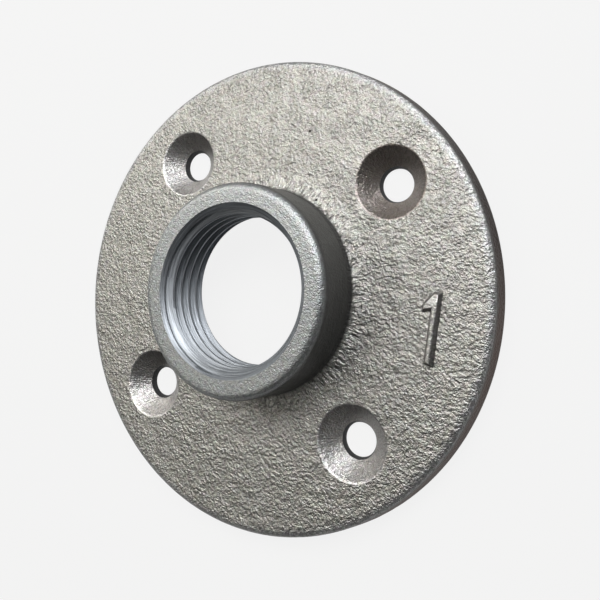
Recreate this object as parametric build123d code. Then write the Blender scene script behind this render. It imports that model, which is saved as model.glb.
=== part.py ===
from build123d import *
from build123d.topology.shape_core import SkipClean
import math
import os

# A railing flange for 1 inch pipe: one malleable-iron casting, in millimetres.
# It lies on its flat back, z = 0 there, and the bore runs up +Z through the hub.

# Round plate
plate_d = 99.4
plate_t = 4.8
plate_draft = 6.0
plate_front_break = 0.7
plate_back_break = 0.3

# Hub, measured from the back of the plate
hub_h = 16.8
hub_d = 42.8
hub_draft = 0.5
hub_lip_r = 1.6
hub_foot_r = 1.3

# Parallel pipe thread, 11 turns to the inch, with the 55 degree form
thread_major_d = 33.249
thread_pitch = 25.4 / 11
thread_flank = 27.5
thread_depth = 0.640327 * thread_pitch
thread_turn = 245.0

# Machined countersink at the mouth and cored relief under the thread
mouth_d = 34.4
mouth_slope = 45.0
relief_h = 5.7
relief_d = 42.0

# Countersunk screw holes, drilled through the thin neck that the casting leaves at the back
screw_count = 4
screw_pcd = 71.6
screw_angle = 45.0
screw_d = 6.5
screw_land = 0.5
neck_h = 1.4
sink_d = 14.6
sink_slope = 45.0

# Allowances for the tools: stock left for boring, overrun past a face, steps to a turn
bore_stock = 1.0
overrun = 1.0
turn_steps = 4


def slant(angle, rise):
    """Sideways run of a wall that leans by an angle from upright over a rise."""
    return rise * math.tan(math.radians(angle))


thread_minor_d = thread_major_d - 2 * thread_depth
core_r = thread_minor_d / 2 - bore_stock


def casting_section():
    """Half section of the casting as it leaves the mould, with its round core."""
    face_r = plate_d / 2 - slant(plate_draft, plate_t)
    lip_r = hub_d / 2 - slant(hub_draft, hub_h - plate_t)
    mouth_depth = slant(90 - mouth_slope, mouth_d / 2 - core_r)
    relief_slope = relief_h / (relief_d / 2 - thread_minor_d / 2)
    relief_top = relief_h + bore_stock * relief_slope
    back_corner = (plate_d / 2, 0)
    front_corner = (face_r, plate_t)
    foot_corner = (hub_d / 2, plate_t)
    lip_corner = (lip_r, hub_h)
    outline = Polyline(
        (relief_d / 2, 0),
        back_corner,
        front_corner,
        foot_corner,
        lip_corner,
        (mouth_d / 2, hub_h),
        (core_r, hub_h - mouth_depth),
        (core_r, relief_top),
        close=True,
    )
    section = make_face(outline)
    for finish, corner, size in (
        (chamfer, back_corner, plate_back_break),
        (chamfer, front_corner, plate_front_break),
        (fillet, foot_corner, hub_foot_r),
        (fillet, lip_corner, hub_lip_r),
    ):
        section = finish(section.vertices().sort_by_distance(corner)[0], size)
    return section


def casting():
    """The plate and its hub, turned about the bore."""
    return revolve(Plane.XZ * casting_section(), Axis.Z, 360)


def screw_tool():
    """A screw hole with its neck and countersink, turned about its own axis."""
    neck_r = sink_d / 2 - slant(sink_slope, plate_t - neck_h)
    mouth_r = sink_d / 2 + slant(sink_slope, overrun)
    outline = Polyline(
        (0, -overrun),
        (screw_d / 2, -overrun),
        (screw_d / 2, screw_land),
        (neck_r, neck_h),
        (mouth_r, plate_t + overrun),
        (0, plate_t + overrun),
        close=True,
    )
    return revolve(Plane.XZ * make_face(outline), Axis.Z, 360)


def screw_tools():
    """One tool for each screw hole, spaced round the plate."""
    spots = PolarLocations(screw_pcd / 2, screw_count, start_angle=screw_angle)
    return [spot * screw_tool() for spot in spots]


def bore_tool():
    """The bore at the thread's minor diameter, its wall in equal arcs.

    The arcs keep each length of thread crest a round wall of its own.
    """
    step = 360 / turn_steps
    arcs = [CenterArc((0, 0), thread_minor_d / 2, step * part, step) for part in range(turn_steps)]
    disc = Face(Wire(arcs))
    return Pos(0, 0, -overrun) * extrude(disc, hub_h + 2 * overrun, clean=False)


def groove_tools():
    """The thread groove: a trapezoid swept up a right-hand helix, one step of a turn at a time.

    It starts in the open relief and leaves above the mouth, so both ends run out.
    """
    root_half = thread_pitch / 12
    inner_r = thread_minor_d / 2 - overrun / 5
    crest_half = root_half + slant(thread_flank, thread_major_d / 2 - inner_r)
    step_rise = thread_pitch / turn_steps
    path = Helix(pitch=thread_pitch, height=step_rise, radius=thread_major_d / 2)
    across = Plane(origin=path @ 0, x_dir=(1, 0, 0), z_dir=path % 0)
    inward = inner_r - thread_major_d / 2
    trapezoid = across * Polygon(
        (0, -root_half), (0, root_half), (inward, crest_half), (inward, -crest_half), align=None
    )
    piece = sweep(trapezoid, path=path, is_frenet=True)
    count = math.ceil((hub_h + 2 * crest_half) / step_rise)
    return [
        Pos(0, 0, part * step_rise) * Rot(0, 0, thread_turn + part * 360 / turn_steps) * piece
        for part in range(count)
    ]


def flange():
    """The finished casting: cored, drilled, bored and tapped."""
    body = casting() - screw_tools()
    # The clean-up pass after a cut would join the wall's arcs again
    with SkipClean():
        body -= bore_tool()
        body -= groove_tools()
    return body


os.makedirs("parts", exist_ok=True)
body = flange()
body.label = "flange"
export_step(body, "parts/flange.step")
print("solids", len(body.solids()), "volume mm3", round(body.volume, 1), "valid", body.is_valid)
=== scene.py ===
import bpy
import math
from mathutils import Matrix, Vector


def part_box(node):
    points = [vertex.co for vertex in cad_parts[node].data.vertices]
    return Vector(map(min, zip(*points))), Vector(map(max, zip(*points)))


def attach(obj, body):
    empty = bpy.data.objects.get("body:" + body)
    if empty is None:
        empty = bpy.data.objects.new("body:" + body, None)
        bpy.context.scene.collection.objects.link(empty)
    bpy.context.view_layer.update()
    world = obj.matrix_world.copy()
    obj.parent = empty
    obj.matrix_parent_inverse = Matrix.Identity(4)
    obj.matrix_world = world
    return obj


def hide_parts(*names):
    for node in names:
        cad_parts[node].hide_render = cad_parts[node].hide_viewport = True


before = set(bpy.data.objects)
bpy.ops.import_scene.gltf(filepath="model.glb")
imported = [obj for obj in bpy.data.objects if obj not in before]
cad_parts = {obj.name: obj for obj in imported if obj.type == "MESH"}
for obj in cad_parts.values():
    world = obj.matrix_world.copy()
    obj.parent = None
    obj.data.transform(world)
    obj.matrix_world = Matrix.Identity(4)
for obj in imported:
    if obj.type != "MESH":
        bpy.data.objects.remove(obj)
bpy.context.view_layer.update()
casting_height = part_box("flange")[1].z

# Camera. It stands over the flange's right side and looks down into the mouth.
# The picture's middle lies to the left of the lens's axis and below it, hence the shift.
camera_place = (0.07624, 0.01107, 0.12027)
camera_turn = (6.295, 27.374, 9.590)
lens_length = 39.25
picture_shift = (-0.0582, -0.1216)
camera_data = bpy.data.cameras.new("camera")
camera_data.lens = lens_length
camera_data.sensor_width = 36.0
camera_data.shift_x, camera_data.shift_y = picture_shift
camera_data.clip_start = 0.005
camera = bpy.data.objects.new("camera", camera_data)
camera.location = camera_place
camera.rotation_euler = [math.radians(angle) for angle in camera_turn]
bpy.context.scene.collection.objects.link(camera)
bpy.context.scene.camera = camera
bpy.context.scene.view_settings.view_transform = "Standard"


# Floor. A plain pale sheet that the flange lies on, large enough to fill every view.
# The camera sees it near white, a mirror sees it about half as bright, and it takes a shadow.
def add_to(tree):
    """A function that adds a node to a tree, with its inputs linked or set, and its settings."""
    def add(kind, links=(), **settings):
        node = tree.nodes.new(kind)
        for key, value in settings.items():
            setattr(node, key, value)
        for socket, source in dict(links).items():
            if hasattr(source, "is_output"):
                tree.links.new(source, node.inputs[socket])
            else:
                node.inputs[socket].default_value = source
        return node
    return add


def new_material(name):
    """A node material, its Principled shader, a function that adds nodes to it, and its tree."""
    material = bpy.data.materials.new(name)
    material.use_nodes = True
    tree = material.node_tree
    return material, tree.nodes["Principled BSDF"], add_to(tree), tree


floor_size = 3.0
floor_white = 0.93
floor_colour = (0.55, 0.55, 0.54, 1)
seen_share = 0.92
mirrored_share = 0.45
bpy.ops.object.select_all(action="DESELECT")
bpy.ops.mesh.primitive_plane_add(size=floor_size)
floor = bpy.context.object
floor.name = "floor"
floor_paint, floor_shader, add, tree = new_material("floor_paint")
floor_shader.inputs["Base Color"].default_value = floor_colour
floor_shader.inputs["Roughness"].default_value = 0.9
rays = add("ShaderNodeLightPath")
seen = add(
    "ShaderNodeMath",
    {0: rays.outputs["Is Camera Ray"], 1: rays.outputs["Is Transmission Ray"]}, operation="MAXIMUM",
)
seen = add("ShaderNodeMath", {0: seen.outputs[0], 1: seen_share}, operation="MULTIPLY")
mirrored = add("ShaderNodeMath", {0: rays.outputs["Is Glossy Ray"], 1: mirrored_share}, operation="MULTIPLY")
share = add("ShaderNodeMath", {0: seen.outputs[0], 1: mirrored.outputs[0]}, operation="MAXIMUM")
glow = add("ShaderNodeEmission", {"Color": (1, 1, 1, 1), "Strength": floor_white})
blend = add("ShaderNodeMixShader", {0: share.outputs[0], 1: floor_shader.outputs[0], 2: glow.outputs[0]})
tree.links.new(blend.outputs[0], tree.nodes["Material Output"].inputs["Surface"])
floor.data.materials.append(floor_paint)


# Lamps. A large soft one almost overhead and a cooler one beyond the flange's upper right,
# with two weak ones at its left that lift the shade there.
lamp_distance = 0.42
lamp_plan = [
    ("overhead", 118, 62, 0.28, 0.95, (1.0, 0.985, 0.955)),
    ("window", 65, 46, 0.22, 1.03, (0.97, 0.985, 1.0)),
    ("side_card", 157, 31, 0.20, 0.42, (1.0, 0.98, 0.92)),
    ("low_card", 210, 46, 0.20, 0.20, (1.0, 0.97, 0.90)),
]
for name, azimuth, elevation, size, watts, colour in lamp_plan:
    light = bpy.data.lights.new(name, "AREA")
    light.shape = "DISK"
    light.size = size
    light.energy = watts
    light.color = colour
    lamp = bpy.data.objects.new(name, light)
    outward = math.cos(math.radians(elevation))
    direction = Vector((
        outward * math.cos(math.radians(azimuth)),
        outward * math.sin(math.radians(azimuth)),
        math.sin(math.radians(elevation)),
    ))
    lamp.location = direction * lamp_distance
    lamp.rotation_euler = (-direction).to_track_quat("-Z", "Y").to_euler()
    bpy.context.scene.collection.objects.link(lamp)


# Room. Its walls are dim, and the camera alone sees them near white, like the floor.
# What mirrors low on the walls sees them pale too, just above the floor.
room_dim = 0.05
pale_up_to = 0.03
room = bpy.data.worlds.new("room")
room.use_nodes = True
bpy.context.scene.world = room
add = add_to(room.node_tree)
rays = add("ShaderNodeLightPath")
mirrored = add(
    "ShaderNodeMath",
    {0: rays.outputs["Is Glossy Ray"], 1: rays.outputs["Is Transmission Ray"]}, operation="MAXIMUM",
)
heading = add("ShaderNodeTexCoord")
height = add("ShaderNodeSeparateXYZ", {0: heading.outputs["Generated"]})
skirting = add(
    "ShaderNodeMapRange",
    {
        "Value": height.outputs["Z"], "From Min": 0.0, "From Max": pale_up_to,
        "To Min": floor_white, "To Max": room_dim,
    },
)
level = add(
    "ShaderNodeMix",
    {0: mirrored.outputs[0], 2: room_dim, 3: skirting.outputs[0]}, data_type="FLOAT",
)
level = add(
    "ShaderNodeMix",
    {0: rays.outputs["Is Camera Ray"], 2: level.outputs[0], 3: floor_white}, data_type="FLOAT",
)
room.node_tree.links.new(level.outputs[0], room.node_tree.nodes["Background"].inputs["Strength"])
room.node_tree.nodes["Background"].inputs["Color"].default_value = (1, 1, 1, 1)


# Casting. One piece of malleable iron, cast in sand: a round plate with draft on its rim,
# and a hub with a rounded lip and a fillet at its foot. It is walked ring by ring, from the
# core hole's back edge round the plate and up the hub.
ring_points = 600
skin_step = 0.0005
back_step = 0.003
core_radius = 0.0140
plate_radius = 0.0497
plate_height = 0.0048
rim_draft = 6.0
back_edge_radius = 0.0004
front_edge_height = 0.0009
front_edge_reach = 0.0013
hub_radius = 0.0214
hub_height = casting_height
hub_draft = 0.5
hub_foot_height = 0.0013
hub_foot_reach = 0.0030
hub_lip_radius = 0.0016


def run(start, end, step):
    """Points spaced evenly along a straight run, without its start."""
    count = max(1, round(math.dist(start, end) / step))
    return [tuple(a + (b - a) * i / count for a, b in zip(start, end)) for i in range(1, count + 1)]


def round_corner(centre, radius, from_angle, to_angle, count, stretch=1):
    """Points along an arc of the outline, both ends among them, that may be stretched sideways."""
    angles = [math.radians(from_angle + (to_angle - from_angle) * i / count) for i in range(count + 1)]
    return [
        (centre[0] + radius * stretch * math.cos(a), centre[1] + radius * math.sin(a)) for a in angles
    ]


def walk_rings(name, points, outline):
    """A tube of rings: a circle extruded and scaled to each radius and height of its outline."""
    (radius, height), *stations = outline
    bpy.ops.object.select_all(action="DESELECT")
    bpy.ops.mesh.primitive_circle_add(vertices=points, radius=radius, location=(0, 0, height))
    bpy.ops.object.transform_apply(location=True)
    tube = bpy.context.object
    tube.name = name
    bpy.ops.object.mode_set(mode="EDIT")
    bpy.ops.mesh.select_all(action="SELECT")
    for next_radius, next_height in stations:
        bpy.ops.mesh.extrude_region_move(TRANSFORM_OT_translate={"value": (0, 0, next_height - height)})
        growth = next_radius / radius
        bpy.ops.transform.resize(value=(growth, growth, 1), center_override=(0, 0, 0))
        radius, height = next_radius, next_height
    bpy.ops.mesh.select_all(action="DESELECT")
    return tube


def face_outwards():
    """Turn every face of the piece in hand outwards, and leave edit mode."""
    bpy.ops.mesh.select_all(action="SELECT")
    bpy.ops.mesh.normals_make_consistent(inside=False)
    bpy.ops.object.mode_set(mode="OBJECT")


front_radius = plate_radius - plate_height * math.tan(math.radians(rim_draft))
lip_radius = hub_radius - (hub_height - plate_height) * math.tan(math.radians(hub_draft))
back_edge = round_corner(
    (plate_radius - back_edge_radius, back_edge_radius), back_edge_radius, -90, rim_draft, 3
)
front_edge = round_corner(
    (front_radius - front_edge_reach, plate_height - front_edge_height), front_edge_height, rim_draft, 90, 8,
    front_edge_reach / front_edge_height,
)
foot = round_corner(
    (hub_radius + hub_foot_reach, plate_height + hub_foot_height), hub_foot_height, 270, 180, 8,
    hub_foot_reach / hub_foot_height,
)
lip = round_corner((lip_radius - hub_lip_radius, hub_height - hub_lip_radius), hub_lip_radius, 0, 90, 6)
outline = [(core_radius, 0)]
outline += run(outline[-1], back_edge[0], back_step) + back_edge[1:]
outline += run(back_edge[-1], front_edge[0], skin_step) + front_edge[1:]
outline += run(front_edge[-1], foot[0], skin_step) + foot[1:]
outline += run(foot[-1], lip[0], skin_step) + lip[1:]
outline += run(lip[-1], (core_radius, hub_height), skin_step)
casting = walk_rings("casting", ring_points, outline)
bpy.context.tool_settings.mesh_select_mode = (False, True, False)
bpy.ops.mesh.select_non_manifold(extend=False)
bpy.ops.mesh.bridge_edge_loops()
face_outwards()

# The mould isn't quite round: at each of these angles the rim stands out or in a little
bpy.context.tool_settings.mesh_select_mode = (True, False, False)
rim_swells = [
    (16, 0.00016, 0.014), (50, -0.00034, 0.016), (76, 0.00026, 0.012), (115, -0.00010, 0.016),
    (178, 0.00013, 0.030), (258, -0.00032, 0.016), (305, 0.00030, 0.020), (355, -0.00016, 0.013),
]
for angle, swell, reach in rim_swells:
    outward = Vector((math.cos(math.radians(angle)), math.sin(math.radians(angle)), 0))
    spot = outward * front_radius
    for vertex in casting.data.vertices:
        vertex.select = math.dist(vertex.co.xy, spot.xy) < skin_step and vertex.co.z > 0
    bpy.ops.object.mode_set(mode="EDIT")
    bpy.ops.transform.translate(
        value=outward * swell, use_proportional_edit=True, proportional_edit_falloff="SMOOTH",
        proportional_size=reach,
    )
    bpy.ops.object.mode_set(mode="OBJECT")

# The sand leaves its grain in the skin, everywhere but on the flat back and in the core hole
grain_size = 0.0016
grain_height = 0.00012
grain = bpy.data.textures.new("sand_grain", "CLOUDS")
grain.noise_scale = grain_size
grain.noise_depth = 1
face_edge = front_radius - front_edge_reach / 2
sandy = casting.vertex_groups.new(name="sandy")
for vertex in casting.data.vertices:
    radius, height = vertex.co.xy.length, vertex.co.z
    if height < back_edge_radius or radius < core_radius + skin_step:
        continue
    if height > hub_height - hub_lip_radius:
        weight = 0.15
    elif radius > face_edge:
        weight = 0.25
    elif height > plate_height + hub_foot_height:
        weight = 0.45
    else:
        weight = 1.0
    sandy.add([vertex.index], weight, "REPLACE")
press = casting.modifiers.new("sand", "DISPLACE")
press.texture = grain
press.texture_coords = "LOCAL"
press.strength = grain_height
press.vertex_group = sandy.name
bpy.ops.object.modifier_apply(modifier=press.name)

# Its finish is a dull zinc grey over the sand's grain, darker in the pits, with a painted shade
# on upright walls, and brown on the rim, deepened there by painted shade. The hub is smoother
# than the plate, and a little bluer. The rim's painted shade is darkest one way round, and a
# painted shade also darkens the walls of the screw holes that face against the other. The
# plate's rounded edge and the hub's foot are painted lighter, a painted highlight.
plate_grey = (0.43, 0.422, 0.398, 1)
hub_grey = (0.375, 0.388, 0.392, 1)
upright_shade_grey = (0.137, 0.138, 0.137, 1)
rim_brown_and_shade = (0.098, 0.070, 0.060, 1)
edge_highlight_grey = (0.462, 0.462, 0.460, 1)
rim_shade_way = (math.cos(math.radians(40)), math.sin(math.radians(40)), 0.0)
sink_shade_way = (0.4, 0.9, 0.0)
pit_tone = 0.75
nicks = [(0.00577, 0.03434, 0.0), (0.00988, 0.02024, 0.0)]
nick_radius = 0.00038
speckle_scale = 4600
patch_scale = 350
hue_scale = 1100
hue_swing = 0.16
foot_highlight = 0.3
hub_smoothing = 0.75
edge_smoothing = 0.3
edge_band = (0.0019, 0.0009)
streak_relief = 1.2
hole_streaks = 0.55


def cast_finish(
    name, low_colour, high_colour, upright_shade_colour, roughness, grain_depth, grain_scale, hole_offset=0.0
):
    """A zinc-coated sand-cast skin: low down and high up it has its own colours, and upright walls take a
    painted shade colour.

    Its streaks point at the hub, or at each screw hole where the holes' offset is given.
    """
    material, shader, add, tree = new_material(name)
    shader.inputs["Metallic"].default_value = 1.0
    shader.inputs["Roughness"].default_value = roughness
    where = add("ShaderNodeTexCoord")
    spot = add("ShaderNodeSeparateXYZ", {0: where.outputs["Object"]})
    flat_spot = add("ShaderNodeCombineXYZ", {"X": spot.outputs["X"], "Y": spot.outputs["Y"]})
    distance = add("ShaderNodeVectorMath", {0: flat_spot.outputs[0]}, operation="LENGTH")
    facing = add("ShaderNodeSeparateXYZ", {0: where.outputs["Normal"]})

    def ramp(source, low, high, start, end):
        """A value that runs evenly from start to end as its source runs from low to high."""
        return add(
            "ShaderNodeMapRange",
            {"Value": source, "From Min": low, "From Max": high, "To Min": start, "To Max": end},
        ).outputs[0]

    def reckon(operation, *values):
        """The outcome of a sum on up to three values."""
        return add("ShaderNodeMath", dict(enumerate(values)), operation=operation).outputs[0]

    def noise(scale, detail, vector=where.outputs["Object"], roughness=0.5):
        """The outputs of a noise at a scale."""
        return add(
            "ShaderNodeTexNoise",
            {"Vector": vector, "Scale": scale, "Detail": detail, "Roughness": roughness},
        ).outputs

    grain = noise(grain_scale, 2.0, roughness=0.55)[0]
    fine_grain = noise(2.13 * grain_scale, 1.0)[0]
    speckle = noise(speckle_scale, 1.0)[0]
    patches = ramp(noise(patch_scale, 1.0)[0], 0.3, 0.7, 0.65, 1.4)

    # The hub, its foot and the rounded edge of the plate differ from the open plate
    foot_top = plate_height + hub_foot_height
    on_hub = ramp(spot.outputs["Z"], foot_top, foot_top + hub_foot_height, 0.0, 1.0)
    off_hub = reckon("SUBTRACT", 1.0, on_hub)
    foot_radius = hub_radius + hub_foot_reach
    near_foot = ramp(distance.outputs["Value"], foot_radius - 0.001, foot_radius + 0.001, 1.0, 0.0)
    above_plate = ramp(spot.outputs["Z"], plate_height - 0.001, plate_height - 0.0005, 0.0, 1.0)
    on_foot = reckon("MULTIPLY", reckon("MULTIPLY", near_foot, above_plate), off_hub)
    edge_start, edge_full = (front_radius - reach for reach in edge_band)
    on_edge = ramp(distance.outputs["Value"], edge_start, edge_full, 0.0, 1.0)

    # The sand slid along the pattern there, and left fine streaks
    across, along = spot.outputs["X"], spot.outputs["Y"]
    streaky, streak_radius = on_foot, hub_radius
    if hole_offset:
        across = reckon("SUBTRACT", reckon("ABSOLUTE", across), hole_offset)
        along = reckon("SUBTRACT", reckon("ABSOLUTE", along), hole_offset)
        streaky, streak_radius = hole_streaks, hub_radius / 3
    from_middle = add("ShaderNodeCombineXYZ", {"X": across, "Y": along}).outputs[0]
    from_middle = add("ShaderNodeVectorMath", {0: from_middle}, operation="LENGTH").outputs["Value"]
    turn = reckon("ARCTAN2", along, across)
    streak_spot = add(
        "ShaderNodeCombineXYZ",
        {"X": reckon("MULTIPLY", turn, streak_radius), "Y": reckon("MULTIPLY", from_middle, 0.3)},
    )
    streaks = noise(1.1 * grain_scale, 2.0, streak_spot.outputs[0])[0]

    # The coat is darker where it lies thin: in pits, nicks and streaks. A painted shade darkens some
    # walls of the screw holes and all upright walls, and a painted highlight lightens the plate's
    # edge and the hub's foot
    tone = add("ShaderNodeMix", {0: on_hub, 6: low_colour, 7: high_colour}, data_type="RGBA").outputs[2]
    # The plate's rounded edge is painted a lighter grey, a painted highlight
    tone = add("ShaderNodeMix", {0: on_edge, 6: tone, 7: edge_highlight_grey}, data_type="RGBA").outputs[2]
    hues = add(
        "ShaderNodeVectorMath",
        {0: noise(hue_scale, 1.0)[1], 1: [hue_swing] * 3, 2: [1 - hue_swing / 2] * 3},
        operation="MULTIPLY_ADD",
    )
    tone = add("ShaderNodeVectorMath", {0: tone, 1: hues.outputs[0]}, operation="MULTIPLY").outputs[0]
    shade = ramp(grain, 0.30, 0.50, pit_tone, 1.0)
    # The hub's foot is painted lighter, a painted highlight
    shade = reckon("MULTIPLY", shade, reckon("MULTIPLY_ADD", on_foot, foot_highlight, 1.0))
    shade = reckon("MULTIPLY", shade, ramp(speckle, 0.35, 0.65, 0.84, 1.14))
    streak_tone = ramp(streaks, 0.35, 0.5, -0.5, 0.0)
    shade = reckon("MULTIPLY", shade, reckon("MULTIPLY_ADD", streak_tone, streaky, 1.0))
    # At the screw holes, walls that face against the sink shade way are darkened, a painted shade
    if hole_offset:
        sink_wall_shade = add(
            "ShaderNodeVectorMath", {0: where.outputs["Normal"], 1: sink_shade_way}, operation="DOT_PRODUCT",
        )
        shade = reckon("MULTIPLY", shade, ramp(sink_wall_shade.outputs["Value"], -0.6, 0.1, 0.52, 1.0))
    for nick in nicks:
        away = add("ShaderNodeVectorMath", {0: flat_spot.outputs[0], 1: nick}, operation="DISTANCE")
        nick_shade = ramp(away.outputs["Value"], 0.5 * nick_radius, nick_radius, 0.1, 1.0)
        shade = reckon("MULTIPLY", shade, nick_shade)
    tone = add("ShaderNodeVectorMath", {0: tone, "Scale": shade}, operation="SCALE").outputs[0]
    # Upright walls take the upright shade colour, a painted shade
    upright_shade = ramp(facing.outputs["Z"], 0.30, 0.80, 1.0, 0.0)
    tone = add("ShaderNodeMix", {0: upright_shade, 6: tone, 7: upright_shade_colour}, data_type="RGBA").outputs[2]
    # The rim's side is brown, deepened by painted shade, darkest where it faces along the rim shade way
    rim_side = ramp(distance.outputs["Value"], front_radius - 0.0001, front_radius + 0.0001, 0.0, 1.0)
    rim_shade_facing = add(
        "ShaderNodeVectorMath", {0: flat_spot.outputs[0], 1: rim_shade_way}, operation="DOT_PRODUCT",
    )
    rim_shade = ramp(rim_shade_facing.outputs["Value"], 0.80 * front_radius, 0.97 * front_radius, 1.0, 0.4)
    rim_tone = add("ShaderNodeVectorMath", {0: rim_brown_and_shade[:3], "Scale": rim_shade}, operation="SCALE")
    tone = add("ShaderNodeMix", {0: rim_side, 6: tone, 7: rim_tone.outputs[0]}, data_type="RGBA").outputs[2]
    tree.links.new(tone, shader.inputs["Base Color"])

    # The grain comes and goes in patches, and is lower on the plate's edge and the hub
    grain_share = reckon("MULTIPLY", reckon("MULTIPLY_ADD", on_hub, -hub_smoothing, 1.0), patches)
    grain_share = reckon("MULTIPLY", grain_share, reckon("MULTIPLY_ADD", on_edge, -edge_smoothing, 1.0))
    height = reckon("MULTIPLY", grain, grain_share)
    height = reckon("MULTIPLY_ADD", fine_grain, 0.25, height)
    height = reckon("MULTIPLY_ADD", streaks, reckon("MULTIPLY", streaky, streak_relief), height)
    bump = add("ShaderNodeBump", {"Height": height, "Distance": grain_depth, "Strength": 1.0})
    tree.links.new(bump.outputs[0], shader.inputs["Normal"])
    return material


skin = cast_finish(
    "cast_skin", plate_grey, hub_grey, upright_shade_grey, roughness=0.46, grain_depth=0.00040, grain_scale=1600
)
casting.data.materials.append(skin)


# Screw holes. Each is cast with its countersink and a short steep neck, and drilled through
# at the back. The countersink's rim is softened by the sand.
screw_circle_radius = 0.0358
screw_radii = (0.00338, 0.00328, 0.00322, 0.00336)
screw_land = 0.0005
neck_height = 0.0012
sink_radius = 0.0073
sink_rim_radius = 0.0008
tool_overrun = 0.001
sink_points = 72

# The countersink's cast wall has a finer grain than the plate. In three of the holes its zinc is
# painted lighter, a painted highlight, and in the first, at the upper right, it is brown. The
# brown is also the painted shade on the holes' upright walls.
sink_highlight_grey = (0.62, 0.61, 0.60, 1)
sink_brown_and_shade = (0.37, 0.335, 0.31, 1)
sink_roughness = 0.39
sink_grain_depth = 0.00014
sink_grain_scale = 2500
screw_offset = screw_circle_radius * math.sqrt(0.5)
sink_skin = cast_finish(
    "sink_skin", sink_highlight_grey, sink_highlight_grey, sink_brown_and_shade, sink_roughness, sink_grain_depth, sink_grain_scale,
    screw_offset,
)
brown_skin = cast_finish(
    "brown_skin", sink_brown_and_shade, sink_brown_and_shade, sink_brown_and_shade, sink_roughness, sink_grain_depth, sink_grain_scale,
    screw_offset,
)
sink_finishes = (brown_skin, sink_skin, sink_skin, sink_skin)

# The drilled hole itself is coloured near black, a painted shade
drilled_shade_finish, drilled_shade_shader, add, tree = new_material("drilled_iron_shade")
drilled_shade_shader.inputs["Metallic"].default_value = 0.6
drilled_shade_shader.inputs["Roughness"].default_value = 0.55
drilled_shade_shader.inputs["Base Color"].default_value = (0.05, 0.05, 0.052, 1)
where = add("ShaderNodeTexCoord")
scratches = add("ShaderNodeMapping", {"Vector": where.outputs["Object"], "Scale": (1, 1, 8)})
scratches = add("ShaderNodeTexNoise", {"Vector": scratches.outputs[0], "Scale": 900, "Detail": 2.0})
bump = add("ShaderNodeBump", {"Height": scratches.outputs[0], "Distance": 0.0001, "Strength": 1.0})
tree.links.new(bump.outputs[0], drilled_shade_shader.inputs["Normal"])


def turned_tool(name, points, outline, finish):
    """A closed tool, turned to an outline of radius and height, that leaves a finish behind."""
    tool = walk_rings(name, points, outline)
    bpy.ops.mesh.select_non_manifold(extend=False)
    bpy.ops.mesh.edge_face_add()
    face_outwards()
    tool.data.materials.append(finish)
    return tool


def work(operation, tool):
    """Take a closed tool out of the casting, or join it on, and throw the tool away."""
    bpy.ops.object.select_all(action="DESELECT")
    casting.select_set(True)
    bpy.context.view_layer.objects.active = casting
    step = casting.modifiers.new("step", "BOOLEAN")
    step.object = tool
    step.operation = operation
    step.solver = "MANIFOLD"
    step.material_mode = "TRANSFER"
    bpy.ops.object.modifier_apply(modifier=step.name)
    bpy.data.objects.remove(tool)


neck_radius = sink_radius - (plate_height - neck_height)
rim_centre = (sink_radius + sink_rim_radius * (math.sqrt(2) - 1), plate_height - sink_rim_radius)
sink_rim = round_corner(rim_centre, sink_rim_radius, 135, 108, 3)
rim_rise = tool_overrun * math.tan(math.radians(18))
sink_outline = [(neck_radius, neck_height)]
sink_outline += run(sink_outline[-1], sink_rim[0], skin_step) + sink_rim[1:]
sink_outline += [(sink_rim[-1][0] + tool_overrun, sink_rim[-1][1] + rim_rise)]
bpy.context.tool_settings.mesh_select_mode = (False, True, False)
for hole, (screw_radius, sink_finish) in enumerate(zip(screw_radii, sink_finishes)):
    angle = math.radians((hole + 0.5) * 360 / len(screw_radii))
    drill_outline = [
        (screw_radius, -tool_overrun), (screw_radius, screw_land), (neck_radius, neck_height),
        (neck_radius, neck_height + screw_land),
    ]
    middle = (screw_circle_radius * math.cos(angle), screw_circle_radius * math.sin(angle), 0)
    for name, tool_outline, finish in (
        ("countersink", sink_outline, sink_finish), ("drill", drill_outline, drilled_shade_finish),
    ):
        tool = turned_tool(name, sink_points, tool_outline, finish)
        tool.location = middle
        work("DIFFERENCE", tool)


# Size numeral. A raised 1, cast with the plate right of the hub: a drafted stroke, and a flag
# that falls from its top to a point.
numeral_foot = 0.0004
numeral_corners = [
    (0.03740, 0.0060), (0.03600, 0.0042), (0.03530, 0.0031), (0.03550, 0.0017),
    (0.03705, 0.0022), (0.03715, -0.0075), (0.03915, -0.0078), (0.03905, 0.0010), (0.03900, 0.0060),
]
numeral_slope = [
    (0.00010, 0.00012), (0.00042, 0.00084), (0.00010, 0.00008), (0.00012, 0.00004), (0.00010, 0.0),
]
bpy.context.tool_settings.mesh_select_mode = (True, False, False)
bpy.ops.object.select_all(action="DESELECT")
bpy.ops.mesh.primitive_plane_add(size=skin_step)
numeral = bpy.context.object
numeral.name = "numeral"
bpy.ops.object.mode_set(mode="EDIT")
bpy.ops.mesh.select_all(action="SELECT")
bpy.ops.mesh.merge(type="CENTER")
bpy.ops.transform.translate(value=(*numeral_corners[0], plate_height - numeral_foot))
place = numeral_corners[0]
for corner in numeral_corners[1:]:
    bpy.ops.mesh.extrude_region_move(
        TRANSFORM_OT_translate={"value": (corner[0] - place[0], corner[1] - place[1], 0)}
    )
    place = corner
bpy.ops.mesh.select_all(action="SELECT")
bpy.ops.mesh.edge_face_add()
bpy.ops.mesh.extrude_region_move(TRANSFORM_OT_translate={"value": (0, 0, numeral_foot)})
face_outwards()
bpy.context.tool_settings.mesh_select_mode = (False, False, True)
bpy.ops.object.mode_set(mode="EDIT")
bpy.ops.mesh.select_all(action="DESELECT")
bpy.ops.object.mode_set(mode="OBJECT")
for face in numeral.data.polygons:
    face.select = face.normal.z > 0.5
bpy.ops.object.mode_set(mode="EDIT")
for draw_in, rise in numeral_slope:
    bpy.ops.mesh.inset(thickness=draw_in, depth=rise)
face_outwards()
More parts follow.
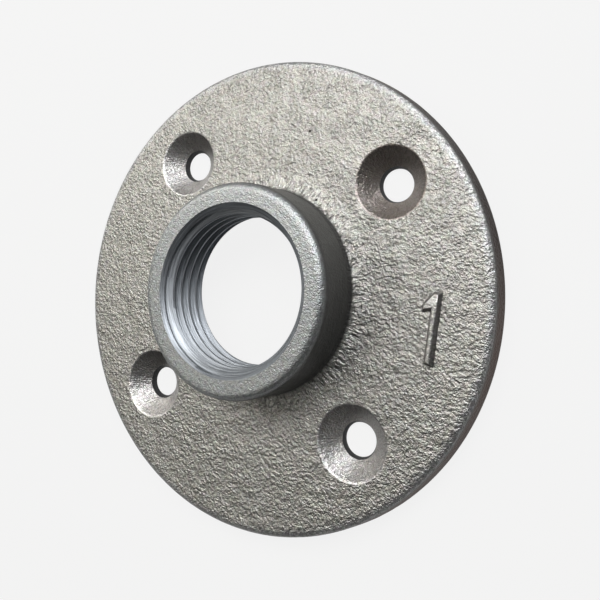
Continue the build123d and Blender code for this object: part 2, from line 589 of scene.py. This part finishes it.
# The stroke is painted a lighter grey, a painted highlight, and its sides near black, a painted shade
numeral_highlight_grey = (0.50, 0.492, 0.475, 1)
numeral_side_shade = (0.035, 0.032, 0.030, 1)
numeral_skin = cast_finish(
    "numeral_skin", numeral_highlight_grey, numeral_highlight_grey, numeral_side_shade,
    roughness=0.44, grain_depth=0.00020, grain_scale=1600,
)
numeral.data.materials.append(numeral_skin)
work("UNION", numeral)


# Bore. It is cored, then machined: tapped with a right-hand pipe thread of 11 turns to the
# inch, and opened at the mouth by a 45 degree countersink. The cored relief at the back stays.
thread_pitch = 0.0254 / 11
thread_major_radius = 0.033249 / 2
thread_depth = 0.640327 * thread_pitch
thread_round = 0.137329 * thread_pitch
thread_turn = 245
thread_minor_radius = thread_major_radius - thread_depth
tap_points = 96
tap_turns = 11
mouth_radius = 0.0172
relief_radius = 0.0210
relief_height = 0.0057
mouth_points = 240
relief_points = 120

# The machined iron is bare and bluish, with the fine rings that the tap and cutter leave,
# and a painted shade darkens the thread's roots
machined, machined_shader, add, tree = new_material("machined_iron")
machined_shader.inputs["Metallic"].default_value = 1.0
machined_shader.inputs["Roughness"].default_value = 0.50
machined_grey = (0.345, 0.367, 0.395, 1)
root_shade_grey = (0.10, 0.107, 0.115, 1)
where = add("ShaderNodeTexCoord")
spot = add("ShaderNodeSeparateXYZ", {0: where.outputs["Object"]})
flat_spot = add("ShaderNodeCombineXYZ", {"X": spot.outputs["X"], "Y": spot.outputs["Y"]})
distance = add("ShaderNodeVectorMath", {0: flat_spot.outputs[0]}, operation="LENGTH")
turn = add("ShaderNodeMath", {0: spot.outputs["Y"], 1: spot.outputs["X"]}, operation="ARCTAN2")
turn_step = add("ShaderNodeMath", {0: turn.outputs[0], 1: 0.0006}, operation="MULTIPLY")
ring = add(
    "ShaderNodeCombineXYZ",
    {"X": distance.outputs["Value"], "Y": spot.outputs["Z"], "Z": turn_step.outputs[0]},
)
root_depth = add(
    "ShaderNodeMapRange",
    {
        "Value": distance.outputs["Value"], "From Min": thread_major_radius - 0.00055,
        "From Max": thread_major_radius - 0.00005, "To Min": 0.0, "To Max": 1.0,
    },
)
below_mouth = add(
    "ShaderNodeMapRange",
    {
        "Value": spot.outputs["Z"], "From Min": hub_height - 0.0022, "From Max": hub_height - 0.0017,
        "To Min": 1.0, "To Max": 0.0,
    },
)
# The thread's roots below the mouth get a painted shade
root_shade = add("ShaderNodeMath", {0: root_depth.outputs[0], 1: below_mouth.outputs[0]}, operation="MULTIPLY")
tone = add("ShaderNodeMix", {0: root_shade.outputs[0], 6: machined_grey, 7: root_shade_grey}, data_type="RGBA")
rings = add("ShaderNodeTexNoise", {"Vector": ring.outputs[0], "Scale": 3200, "Detail": 2.0})
worn = add(
    "ShaderNodeMapRange",
    {"Value": rings.outputs[0], "From Min": 0.3, "From Max": 0.7, "To Min": 0.62, "To Max": 1.3},
)
tone = add("ShaderNodeVectorMath", {0: tone.outputs[2], "Scale": worn.outputs[0]}, operation="SCALE")
tree.links.new(tone.outputs[0], machined_shader.inputs["Base Color"])
bump = add("ShaderNodeBump", {"Height": rings.outputs[0], "Distance": 0.00008, "Strength": 1.0})
tree.links.new(bump.outputs[0], machined_shader.inputs["Normal"])

crest = round_corner((thread_minor_radius + thread_round, 0), thread_round, 180, 117.5, 3)
root = round_corner((thread_major_radius - thread_round, thread_pitch / 2), thread_round, 297.5, 360, 3)
half_turn = crest + root
other_half = [(radius, thread_pitch - height) for radius, height in reversed(half_turn[:-1])]
tap_start = -thread_pitch * (thread_turn / 360 + 1.5)
bpy.context.tool_settings.mesh_select_mode = (True, False, False)
bpy.ops.object.select_all(action="DESELECT")
bpy.ops.mesh.primitive_plane_add(size=thread_pitch)
tap = bpy.context.object
tap.name = "tap"
bpy.ops.object.mode_set(mode="EDIT")
bpy.ops.mesh.select_all(action="SELECT")
bpy.ops.mesh.merge(type="CENTER")
bpy.ops.transform.translate(value=(half_turn[0][0], 0, tap_start))
place = half_turn[0]
for corner in half_turn[1:] + other_half:
    step = (corner[0] - place[0], 0, corner[1] - place[1])
    bpy.ops.mesh.extrude_region_move(TRANSFORM_OT_translate={"value": step})
    place = corner
bpy.ops.object.mode_set(mode="OBJECT")
screw = tap.modifiers.new("screw", "SCREW")
screw.screw_offset = thread_pitch
screw.iterations = tap_turns
screw.steps = screw.render_steps = tap_points
bpy.ops.object.modifier_apply(modifier=screw.name)
bpy.ops.object.mode_set(mode="EDIT")
for height, side in ((-tool_overrun, 1), (hub_height + tool_overrun, -1)):
    bpy.ops.mesh.select_all(action="SELECT")
    bpy.ops.mesh.remove_doubles(threshold=1e-7)
    bpy.ops.mesh.bisect(
        plane_co=(0, 0, height), plane_no=(0, 0, side), use_fill=True, clear_inner=True, threshold=1e-7
    )
face_outwards()
tap.data.materials.append(machined)
work("DIFFERENCE", tap)

bpy.context.tool_settings.mesh_select_mode = (False, True, False)
mouth_depth = mouth_radius - thread_minor_radius + tool_overrun
mouth_low = (thread_minor_radius - tool_overrun, hub_height - mouth_depth)
mouth_high = (mouth_radius + tool_overrun, hub_height + tool_overrun)
work("DIFFERENCE", turned_tool("countersink", mouth_points, [mouth_low, mouth_high], machined))
relief_top = thread_minor_radius - tool_overrun
relief_rise = relief_height / (relief_radius - thread_minor_radius)
relief_outline = [(relief_radius, -tool_overrun), (relief_radius, 0)]
relief_outline += run(
    relief_outline[-1], (relief_top, (relief_radius - relief_top) * relief_rise), 2 * skin_step
)
work("DIFFERENCE", turned_tool("relief", relief_points, relief_outline, skin))

# The finished casting is smooth but for its cut edges, and stands for the flange in the frame
bpy.ops.object.select_all(action="DESELECT")
casting.select_set(True)
bpy.context.view_layer.objects.active = casting
bpy.ops.object.shade_smooth_by_angle(angle=math.radians(40))

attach(casting, "root")
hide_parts("flange")
